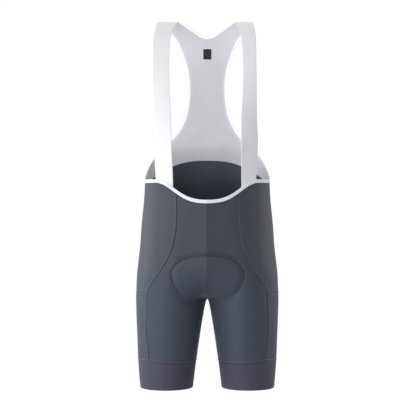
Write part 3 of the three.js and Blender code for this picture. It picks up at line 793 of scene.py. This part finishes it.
def yarn(name, light, dark, gloss):
    """Spun sewing thread, which may catch a little light."""
    thread = Finish(bpy.data.materials.new(name))
    fibres = thread.cloud(thread.place(), 1500, 2)
    colour = thread.blend(fibres.ramp(0.3, 0.7), (*dark, 1), (*light, 1))
    look = {"Base Color": colour, "Roughness": 0.6, "Specular IOR Level": gloss, "Sheen Weight": gloss / 2}
    return thread.material(thread.node("ShaderNodeBsdfPrincipled", None, look))


def cloth_at(x, z):
    """Points of the front's cloth at x across and z up, with the way out of it."""
    base = on_figure(place_of(x, z, -1), z)
    out = unit(slope(base))
    return np.concatenate([base + lift(base)[..., None] * out, out], -1)


GREY_THREAD = yarn("grey thread", (0.13, 0.138, 0.16), (0.085, 0.092, 0.11), 0.4)
DARK_THREAD = yarn("dark thread", (0.018, 0.021, 0.027), (0.01, 0.012, 0.016), 0.05)
SEAM_ROWS = [
    (front, ("start", "end", "bottom")),
    (hip, ("start", "end", "bottom")),
    (thigh, ("start", "end", "top", "bottom")),
]
seam_lines = [cloth.beside(edge, BESIDE_SEAM) for cloth, edges in SEAM_ROWS for edge in edges]
seam_lines.append(hip.beside("top", BESIDE_SEAM))
hem_line = band.beside("bottom", HEM_FOLD)
hem_line = np.concatenate([hem_line, hem_line[:1]])
for hand, side in SIDES:
    runs = [running_stitch(line, side) for line in seam_lines]
    threads(f"seam_stitches_{hand}", runs, GREY_THREAD, "grey_knit")
    runs = [running_stitch(hem_line, side)]
    threads(f"hem_stitches_{hand}", runs, GREY_THREAD, "grey_band")

PAD_ZIGZAG = {"pitch": 3.4, "sway": 6}
PAD_OVERLOCK = {"pitch": 7.6, "length": 11, "lean": 5}


def beside_pad(outside, lowest):
    """The line round the pad's mound, this much outside it, down to a height."""
    angles = np.linspace(0.5, -0.3, 240) * math.pi
    above = angles > 0
    power = 2 / np.where(above, MOUND_FULL["above"], MOUND_FULL["below"])
    x = MOUND["half"] * outside * np.cos(angles) ** power
    rise = np.where(above, MOUND["above"] * outside, -MOUND["below"])
    z = MOUND["widest"] + rise * np.abs(np.sin(angles)) ** power
    return cloth_at(x, z)[z > lowest]


outline = beside_pad(outside=1, lowest=-672)
runs = [zigzag(outline, side, **PAD_ZIGZAG) for _, side in SIDES]
threads("pad_zigzag", runs, DARK_THREAD, "grey_knit", thick=0.58)
outline = beside_pad(outside=1.12, lowest=-590)
runs = [slanted(outline, side, **PAD_OVERLOCK) for _, side in SIDES]
threads("pad_overlock", runs, DARK_THREAD, "grey_knit", thick=0.5)

# The waist binding: a soft white knit strip folded over the dipped front edge, from side to side, and
# held by a row of fine zigzag stitches.
BINDING_WALL = 2.4
BINDING_PROUD = 0.2
BINDING_CROWN = 0.75
BINDING_STITCH = {"pitch": 1.6, "sway": 1.8}
WHITE_BINDING = knit(
    "white binding", (0.86, 0.88, 0.95), (0.74, 0.76, 0.84), 0.5, 0.15, 0.0016, 5e-5, mottle=0.1
)
binding_shares = 0.5 - 0.5 * np.cos(np.linspace(0, math.pi, 13))
binding = Cloth([between(waist_edge, waist_foot, share) for share in binding_shares], -1, 0, middle=70)
crown = 1 - (binding.from_top / binding.from_top[-1] * 2 - 1) ** 2
binding.raised(BINDING_PROUD + BINDING_CROWN * crown)
binding.points[:, 0, 0] = 0
piece = wall("binding", [(binding, 1), (binding, -1)], BINDING_WALL, middle="start")
finished(piece, WHITE_BINDING, "white_binding", "waist_binding")
WHITE_THREAD = yarn("white thread", (0.9, 0.9, 0.94), (0.72, 0.72, 0.77), 0.4)
binding_line = binding.beside("bottom", BESIDE_SEAM)
runs = [zigzag(binding_line, side, **BINDING_STITCH) for _, side in SIDES]
threads("binding_stitches", runs, WHITE_THREAD, "white_binding", thick=0.2)

# The straps: wide flat white elastic, from a seam just behind the shoulder, over it, and down the
# chest to the front of the waist, where the ends are sewn behind the binding.
SHOULDER_SEAM_ANGLE = 96.5
SHOULDER_ROWS = (1.6, 4.4)
STRAP_WALL = 1.5
# the strap's foot behind the binding: how far down and in it lies, and where it starts to bend in
STRAP_TUCK = 8
STRAP_INSET = 2.5
STRAP_BEND = (115, 14)
STRAP_MIDDLE = -0.35
# how flat the straps lie across, and how far from their ends they do
STRAP_FLAT = 0.8
FLAT_FROM = 70
STRAP_ROLL = {"depth": 0.35, "half": 0.6}
SELVAGE = {"depth": 0.1, "beside": 3.5, "half": 0.8}
# each soft wave's length over a full turn, its height and its start
STRAP_WAVES = {"left": [(17, 0.45, 0.4), (31, 0.7, 1.1)], "right": [(21, 0.6, 2.0), (37, 0.6, 0.2)]}
WAVES_BELOW = (30, 90)
WAVES_ABOVE = (20, 90)
# z, and the inner and outer edges as seen from the front
STRAPS = {
    "right": table(
        (0, 71, 124), (-30, 87, 129), (-60, 91, 131.5), (-110, 93, 132),
        (-200, 92.5, 130), (-300, 90, 129), (-410, 84, 128.5),
    ),
    "left": table(
        (0, 67, 112), (-30, 80, 117.5), (-60, 84, 119), (-110, 87.5, 119.5),
        (-200, 87.5, 120.5), (-300, 86.5, 121.5), (-410, 84, 122),
    ),
}
# the knit's painted seam shade darkens the straps along both edges
WHITE_ELASTIC = knit(
    "white elastic", (0.86, 0.86, 0.89), (0.74, 0.74, 0.78), 0.6, 0.1, 0.0014, 7e-5, mottle=0.08, seam=0.4
)


def strap_foot(place):
    return waist_edge(place) - STRAP_TUCK


for hand, side in SIDES:
    rows = []
    for angle in np.concatenate([np.linspace(SHOULDER_SEAM_ANGLE, 90, 4), np.linspace(88, 0, 45)]):
        z = SHOULDER_ARCH * (math.sin(math.radians(angle)) - 1)
        rows.append((level(z), z, 1 if angle > 90 else -1))
    for share in np.linspace(0, 1, 91)[1:]:
        height_at = between(level(-SHOULDER_ARCH), strap_foot, share)
        rows.append((height_at, float(height_at(np.array(STRAP_MIDDLE))), -1))
    starts, ends = (
        [float(place_of(through(STRAPS[hand], edge, z), z, face)) for _, z, face in rows] for edge in (1, 2)
    )
    strap = Cloth([height_at for height_at, _, _ in rows], starts, ends, middle=12)
    flat = STRAP_FLAT * smooth(0, FLAT_FROM, strap.from_top) * smooth(0, FLAT_FROM, strap.from_bottom)
    share = strap.from_start / (strap.from_start + strap.from_end)
    chord = strap.points[:, :1] + share[..., None] * (strap.points[:, -1:] - strap.points[:, :1])
    strap.points += flat[..., None] * (chord - strap.points)
    strap.out = unit(strap.out + flat[..., None] * (strap.out.mean(axis=1, keepdims=True) - strap.out))
    tuck = STRAP_INSET * smooth(*STRAP_BEND, strap.from_bottom)
    rolled = STRAP_ROLL["depth"] * bump(strap.from_seam, 0, STRAP_ROLL["half"])
    selvage = SELVAGE["depth"] * bump(strap.from_seam, SELVAGE["beside"], SELVAGE["half"])
    free = smooth(*WAVES_BELOW, strap.from_top) * smooth(*WAVES_ABOVE, strap.from_bottom)
    waves = sum(high * np.sin(strap.from_top / long + turn) for long, high, turn in STRAP_WAVES[hand])
    strap.raised(waves * free - tuck - rolled - selvage)
    runs = [running_stitch(strap.beside("top", beside), side) for beside in SHOULDER_ROWS]
    threads(f"shoulder_stitches_{hand}", runs, WHITE_THREAD, "white_elastic")
    piece = wall(f"elastic_{hand}", [(strap, side)], STRAP_WALL)
    finished(piece, WHITE_ELASTIC, "white_elastic", f"strap_{hand}")

# The back bib: one panel of fine white mesh, from the seam at the back of the shorts, narrowing
# between the armholes and parting at the neck into two arms that meet the straps.
BIB_WALL = 1.3
BIB_HEM = 7
HEM_ROW = 1.2
HEM_RISE = {"height": 0.4, "ease": 0.6}
# metres, for the mesh's finish
RIBS = {"pitch": 0.0053, "depth": 0.00014, "shade": 0.08, "from": -0.295, "to": -0.335, "faint": 0.1}
MESH = {"pitch": 0.0019, "depth": 0.00014, "shade": 0.15, "glow": 0.3}
PAINTED_LIGHT_HEIGHTS = (-0.15, -0.03)
EDGE_SHADE = (0.0016, 0.0005)
# the mesh's own tone, and what each thing adds to it; the arms get painted light, the mesh low down
# near the shorts painted shade, and the seam to the shorts a painted shadow
TONES = {"plain": 0.72, "arms": 0.28, "hem": 0.12, "row": -0.28, "low": -0.22, "edge": -0.4, "cloud": 0.2}


def open_mesh(name, light, dark):
    """Fine warp-knit mesh: rows of tiny holes in upright wales, drawn into soft ribs where it nears
    the shorts, and doubled and smooth in the hems. Light comes through it. Its colour carries painted
    light at the arms, painted shade towards the shorts and a painted shadow along the seam to them."""
    cloth = Finish(bpy.data.materials.new(name))
    across, up = (cloth.part(cloth.place(), axis) for axis in ("X", "Z"))
    from_hem, from_seam = (cloth.part(cloth.cut("edges"), axis) for axis in ("X", "Y"))
    turn = 2 * math.pi
    columns = (across * (turn / MESH["pitch"])).sine()
    courses = (up * (turn / (MESH["pitch"] * 0.8)) + columns * 1.6).sine()
    field = from_hem.ramp((BIB_HEM - 0.5) / 1000, (BIB_HEM + 0.5) / 1000)
    holes = (columns * courses).ramp(0.1, 0.75) * field
    near_seam = up.ramp(RIBS["from"], RIBS["to"])
    strong = near_seam * (1 - RIBS["faint"]) + RIBS["faint"]
    ribs = (across * (turn / RIBS["pitch"])).sine() * strong * field
    stitched = bump_signal(from_hem, (BIB_HEM - HEM_ROW) / 1000, 0.0009)
    cloud = cloth.cloud(cloth.place(), 16, 2)
    # painted light: the mesh is lighter up at the arms
    tone = TONES["plain"] + up.ramp(*PAINTED_LIGHT_HEIGHTS) * TONES["arms"] + (1 - field) * TONES["hem"]
    # painted shade: the mesh darkens towards the shorts
    tone = tone + stitched * TONES["row"] + near_seam * TONES["low"]
    # painted shadow: a dark line along the seam to the shorts
    tone = tone + from_seam.ramp(*EDGE_SHADE) * TONES["edge"]
    tone = tone + (cloud - 0.5) * TONES["cloud"] - holes * MESH["shade"] + ribs * RIBS["shade"]
    colour = cloth.blend(tone.ramp(0, 1), (*dark, 1), (*light, 1))
    relief = ribs * RIBS["depth"] - holes * MESH["depth"] - stitched * 0.0002
    bumped = cloth.node("ShaderNodeBump", None, {"Strength": 0.8, "Distance": 1.0, "Height": relief})
    look = {"Base Color": colour, "Roughness": 0.75, "Normal": bumped}
    look.update({"Specular IOR Level": 0.25, "Sheen Weight": 0.1})
    surface = cloth.node("ShaderNodeBsdfPrincipled", None, look)
    through_it = cloth.node("ShaderNodeBsdfTranslucent", None, {"Color": (0.92, 0.92, 0.95, 1)})
    return cloth.material(cloth.node("ShaderNodeMixShader", None, [MESH["glow"], surface, through_it]))


WHITE_MESH = open_mesh("white mesh", (0.97, 0.97, 1.0), (0.42, 0.42, 0.46))
BIB_NECK_ROW = 14
BIB_STEPS = 8
SEAM_TURN = 0.24
# index, the middle or neck edge of each row across and in height, the armhole edge, and the bow
BIB = table(
    (0, 0, -344, 156, -403.4, 3),
    (1, 0, -329, 156, -394.5, 3.4),
    (2, 0, -316, 150, -368, 2.6),
    (3, 0, -300, 135.7, -340, 2),
    (4, 0, -284, 113, -313, 2),
    (5, 0, -268, 90, -291, 1.8),
    (6, 0, -250, 71, -268, 1.6),
    (7, 0, -226, 56, -238, 1.4),
    (8, 0, -200, 48.3, -206, 1),
    (9, 0, -170, 44.5, -171, 1),
    (10, 0, -140, 45, -141, 1),
    (11, 0, -112, 48, -114, 1),
    (12, 0, -83.5, 55, -87, 1),
    (13, 0, -58.5, 64, -62, 1),
    (14, 0, -34.5, 73, -42, 1),
    (15, 19, -29.5, 84, -28, 1),
    (16, 38, -18.3, 97, -15, 1),
    (17, 56, -7.8, 110, -6, 1),
    (18, 71, -0.4, 124, -0.4, 1),
)
# the neck edge alone, which begins with a row mirrored from past the middle
NECK = BIB[BIB_NECK_ROW - 1 :, :3].copy()
NECK[0, 1:] = BIB[BIB_NECK_ROW + 1, 1:3] * (-1, 1)
SHOULDER_ROW = len(BIB) - 1
SHOULDER_Z = SHOULDER_ARCH * (math.sin(math.radians(SHOULDER_SEAM_ANGLE + SEAM_TURN)) - 1)


def distance_to(points, line):
    """How far each point is from the nearest stretch of a line."""
    nearest = np.full(points.shape[:-1], np.inf)
    for a, b in zip(line[:-1], line[1:]):
        t = np.clip((points - a) @ (b - a) / max(1e-9, (b - a) @ (b - a)), 0, 1)
        nearest = np.minimum(nearest, np.linalg.norm(points - a - t[..., None] * (b - a), axis=-1))
    return nearest


def settle(p):
    """Moves points onto the figure's face."""
    for _ in range(4):
        way = slope(p)
        p = p - way * (outside(p) / (way**2).sum(-1))[..., None]
    return p


def inset(line, distance):
    """The line beside a line on the figure's face, at a distance to its left or, below 0, its right."""
    ahead = unit(np.gradient(line[:, :3], axis=0))
    base = settle(line[:, :3] + distance * np.cross(ahead, line[:, 3:]))
    return np.concatenate([base, unit(slope(base))], -1)


def other_face(line, thick):
    """The same line on the cloth's other face."""
    return np.concatenate([line[:, :3] - line[:, 3:] * thick, -line[:, 3:]], -1)


halves, bib_thick, white_runs = [], [], []
for hand, side in SIDES:
    shoulder = STRAPS[hand][0]
    heights, starts, ends = [], [], []
    for index in np.linspace(SHOULDER_ROW, 0, SHOULDER_ROW * BIB_STEPS + 1):
        inner_x, inner_z, outer_x, outer_z, bow = (float(through(BIB, k, index)) for k in range(1, 6))
        if index > BIB_NECK_ROW:
            inner_x, inner_z = (float(through(NECK, k, index)) for k in (1, 2))
        if index > SHOULDER_ROW - 1:
            share = index - SHOULDER_ROW + 1
            inner_z += share * (SHOULDER_Z - BIB[-1, 2])
            outer_z += share * (SHOULDER_Z - BIB[-1, 4])
        reach = float(smooth(BIB_NECK_ROW, SHOULDER_ROW, index))
        inner_x = inner_x + reach * (shoulder[1] - BIB[-1, 1]) if index > BIB_NECK_ROW else 0
        outer_x += reach * (shoulder[2] - BIB[-1, 3])
        armhole = float(place_of(outer_x, outer_z, 1))
        neck = float(place_of(inner_x, inner_z, 1))

        def height_at(place, armhole=armhole, neck=neck, top=inner_z, foot=outer_z, bow=bow, index=index):
            t = np.clip((neck - place) / (neck - armhole), 0, 1)
            seam = max(0, 1 - index)
            return seam * back_seam(place) + (1 - seam) * (top + (foot - top) * t**bow)

        heights.append(height_at)
        starts.append(armhole)
        ends.append(neck)
    half = Cloth(heights, starts, ends, middle=34, lifted=False)
    half.neck_rows = (SHOULDER_ROW - BIB_NECK_ROW) * BIB_STEPS
    half.from_armhole = distance_to(half.base, half.base[:, 0])
    half.from_neck = distance_to(half.base, half.base[: half.neck_rows + 1, -1])
    hem_edge = np.minimum(half.from_armhole, half.from_neck)
    hem_band = HEM_RISE["height"] * smooth(BIB_HEM + HEM_RISE["ease"], BIB_HEM - HEM_RISE["ease"], hem_edge)
    half.raised(hem_band - 0.5 * bump(hem_edge, 0, 0.5) - 0.6 * bump(half.from_bottom, 0, 1.0))
    half.from_seam = hem_edge
    halves.append((half, side))
    bib_thick.append(BIB_WALL + 2 * hem_band)
    armhole_hem = inset(half.beside("start", 0), BIB_HEM - HEM_ROW)
    neck_hem = inset(half.beside("end", 0)[: half.neck_rows + 1], HEM_ROW - BIB_HEM)
    sewn_ends = (half.beside("bottom", BESIDE_SEAM), half.beside("top", SHOULDER_ROWS[0]))
    for line in (armhole_hem, neck_hem, *sewn_ends):
        white_runs.append(running_stitch(line, side))
        white_runs.append(running_stitch(other_face(line, BIB_WALL + HEM_RISE["height"] / 2), side))
threads("bib_stitches", white_runs, WHITE_THREAD, "white_mesh")
piece = wall("bib", halves, bib_thick, middle="end", from_row=halves[0][0].neck_rows)
finished(piece, WHITE_MESH, "white_mesh", "back_bib")

# The neck label: a small plain ribbon of dark satin. It lies flat inside the bib, below the neck, and
# is sewn down by fine stitches near its edges.
LABEL = {"half": 10, "top": -58.5, "bottom": -83.5, "wall": 1, "behind": 0.7}
LABEL_LINES = np.array([0, 0.3, 0.8, 1.4])
RIBBON_STITCH = {"pitch": 1.8, "length": 1.3}
SATIN = knit("dark satin", (0.031, 0.031, 0.036), (0.018, 0.018, 0.022), 0.42, 0, 0.0006, 2e-5, mottle=0.05)
label_levels = LABEL["top"] - stations(LABEL["top"] - LABEL["bottom"], 10, LABEL_LINES)
label_edge = [float(place_of(LABEL["half"], z, 1)) for z in label_levels]
label = Cloth([level(z) for z in label_levels], label_edge, 1, middle=6, lifted=False, lines=LABEL_LINES)
label.raised(np.full(label.from_start.shape, -BIB_WALL - LABEL["behind"]))
piece = wall("neck_ribbon", [(label, 1), (label, -1)], LABEL["wall"], middle="end")
finished(piece, SATIN, "label", "neck_label")
ribbon_lines = [other_face(label.beside(edge, 1.1), LABEL["wall"]) for edge in ("top", "bottom", "start")]
runs = [running_stitch(line, side, **RIBBON_STITCH) for line in ribbon_lines for _, side in SIDES]
threads("ribbon_stitches", runs, DARK_THREAD, "label", thick=0.14)

# The seat pad: foam under brushed knit, thick in the middle and thin at its moulded edge, with
# pressed channels. It is sewn inside the shorts and runs down the front, under the crotch and up.
PAD_FRONT_Z = -579
PAD_GAP = 2.9
PAD_CROTCH = {"room": 5.5, "along": 205, "reach": 95}
PAD_WALL = {"edge": 2.5, "middle": 8, "ends": 45}
# each pressed channel's distance from the middle line, half its width and its depth
PAD_CHANNELS = [(0, 4, 2.2), (30, 3.6, 1.8), (52, 3, 1.2)]
WALK_STEP = 2
# how far along its middle line, and half the width there
PAD = table(
    (0, 30), (8, 55), (22, 76), (45, 90), (75, 92), (105, 80), (135, 64), (165, 60), (200, 72),
    (235, 86), (265, 86), (290, 66), (300, 36),
)


def walk(start, ahead, length):
    """A walk over the figure's face, straight ahead, as the points that it passes."""
    steps = math.ceil(np.max(length) / WALK_STEP)
    p, trail = start, [start]
    for _ in range(steps):
        out = unit(slope(p))
        ahead = unit(ahead - (ahead * out).sum(-1, keepdims=True) * out)
        p = settle(p + ahead * np.asarray(length)[..., None] / steps)
        trail.append(p)
    return np.array(trail)


pad_length = PAD[-1, 0]
spine = walk(on_figure(np.array(-1.0), np.array(float(PAD_FRONT_Z))), np.array((0.0, 0, -1)), pad_length)
along = np.linspace(0, pad_length, len(spine))
half_width = through(PAD, 1, along)
pad = Cloth.__new__(Cloth)
pad.base = walk(spine, np.broadcast_to((1.0, 0, 0), spine.shape), half_width).transpose(1, 0, 2)
pad.out = unit(slope(pad.base))
share = np.linspace(0, 1, pad.base.shape[1])[None, :]
pad.from_start = share * half_width[:, None]
pad.from_top = np.broadcast_to(along[:, None], pad.from_start.shape)
pad.from_seam = half_width[:, None] - pad.from_start
pad.from_bottom = pad_length - pad.from_top
room = PAD_CROTCH["room"] * bump(along, PAD_CROTCH["along"], PAD_CROTCH["reach"])[:, None]
pad.points = pad.base + (lift(pad.base) - SHORTS_WALL["thick"] - PAD_GAP - room)[..., None] * pad.out
pad.points[:, 0, 0] = 0
pad.out[:, 0, 0] = 0
ends_in = smooth(0, PAD_WALL["ends"], np.minimum(along, pad_length - along))[:, None]
pad_thick = PAD_WALL["edge"] + (PAD_WALL["middle"] - PAD_WALL["edge"]) * (1 - share**3) * ends_in
for beside, half, deep in PAD_CHANNELS:
    pad_thick -= deep * bump(pad.from_start, beside, half) * ends_in * (1 - share**6)
BRUSHED = knit("brushed pad", (0.07, 0.078, 0.09), (0.04, 0.046, 0.055), 0.85, 0.5, 0.0016, mottle=0.3)
piece = wall("pad", [(pad, 1), (pad, -1)], pad_thick, middle="start")
finished(piece, BRUSHED, "pad_foam", "seat_pad")
